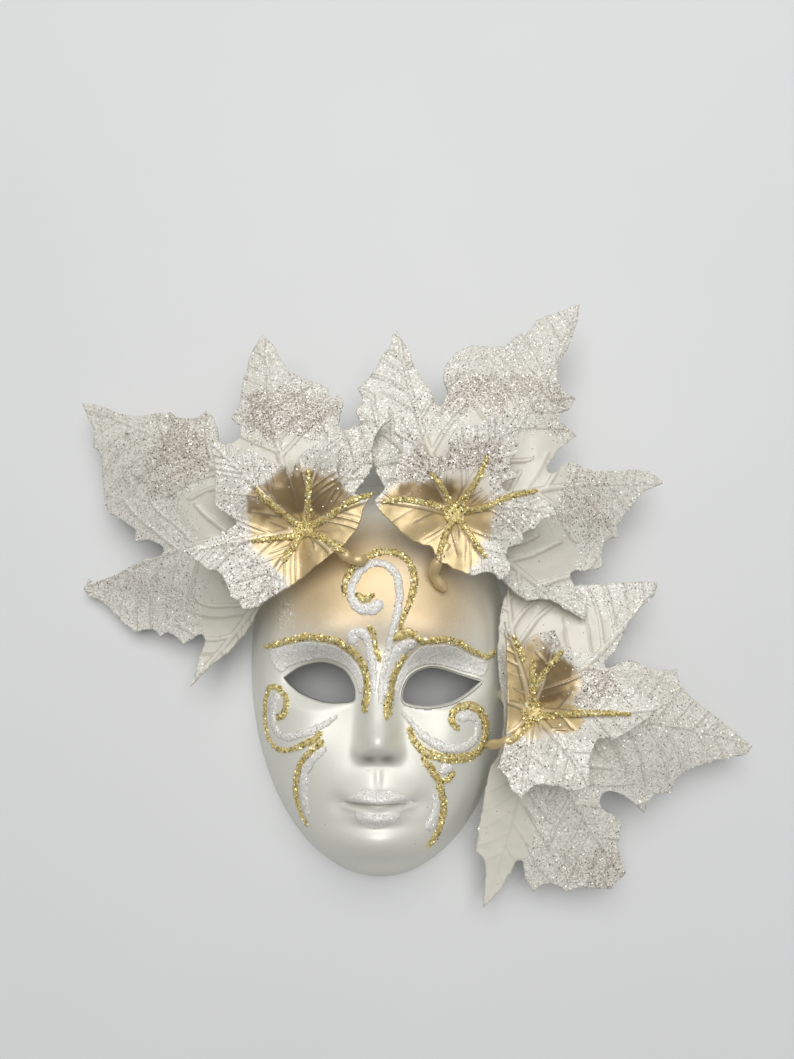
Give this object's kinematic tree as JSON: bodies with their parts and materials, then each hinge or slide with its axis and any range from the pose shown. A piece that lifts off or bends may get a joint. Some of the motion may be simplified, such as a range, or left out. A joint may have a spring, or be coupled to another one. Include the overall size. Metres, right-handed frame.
{
  "type": "venetian masquerade mask",
  "caption": "Small Venetian full-face mask lying on its flat back rim, painted pearl white and gold with glitter scrolls and trimmed with glittered leather leaves.",
  "frame": {"origin": "middle of the flat back rim, in the rim's plane", "axes": "+Z out of the face, away from what it rests on; +Y from the face's middle to the forehead; +X to the right seen from the front"},
  "size_m": [0.18, 0.1585, 0.0358],
  "materials": {
    "shell_pearl": "satin pearl paint, airbrushed gold on the forehead",
    "large_leaf_leather": "cream pearl, lobes dusted with silver-white glitter",
    "small_leaf_leather": "cream with a gold-bronze heart and a ring of silver glitter",
    "gold_glitter": "gold glitter glue",
    "white_glitter": "white glitter glue",
    "hot_glue": "cloudy hot-melt glue"
  },
  "bodies": {
    "root": {"face_shell": "shell_pearl", "leaf_large_left": "large_leaf_leather", "leaf_large_right": "large_leaf_leather", "leaf_large_cheek": "large_leaf_leather", "leaf_small_left": "small_leaf_leather", "leaf_small_right": "small_leaf_leather", "leaf_small_cheek": "small_leaf_leather", "leaf_gold_left": "gold_glitter", "leaf_gold_right": "gold_glitter", "leaf_gold_cheek": "gold_glitter", "glue_shell_left": "hot_glue", "glue_shell_right": "hot_glue", "glue_shell_cheek": "hot_glue", "glue_leaf_left": "hot_glue", "glue_leaf_right": "hot_glue", "glue_leaf_cheek": "hot_glue", "scroll_white": "white_glitter", "curl_white_left": "white_glitter", "curl_white_right": "white_glitter", "cheek_white_left": "white_glitter", "cheek_white_right": "white_glitter", "drop_white_left": "white_glitter", "drop_white_right": "white_glitter", "drop_white_dot": "white_glitter", "lid_glitter_left": "white_glitter", "lid_glitter_right": "white_glitter", "lip_glitter_upper": "white_glitter", "lip_glitter_lower": "white_glitter", "scroll_gold_outline": "gold_glitter", "scroll_gold_centre": "gold_glitter", "bridge_gold_centre": "gold_glitter", "bridge_gold_right": "gold_glitter", "brow_gold_left": "gold_glitter", "brow_gold_right": "gold_glitter", "cheek_gold_left": "gold_glitter", "cheek_gold_right": "gold_glitter", "drop_gold_left": "gold_glitter", "drop_gold_right": "gold_glitter", "drop_gold_side": "gold_glitter"}
  },
  "joints": []
}
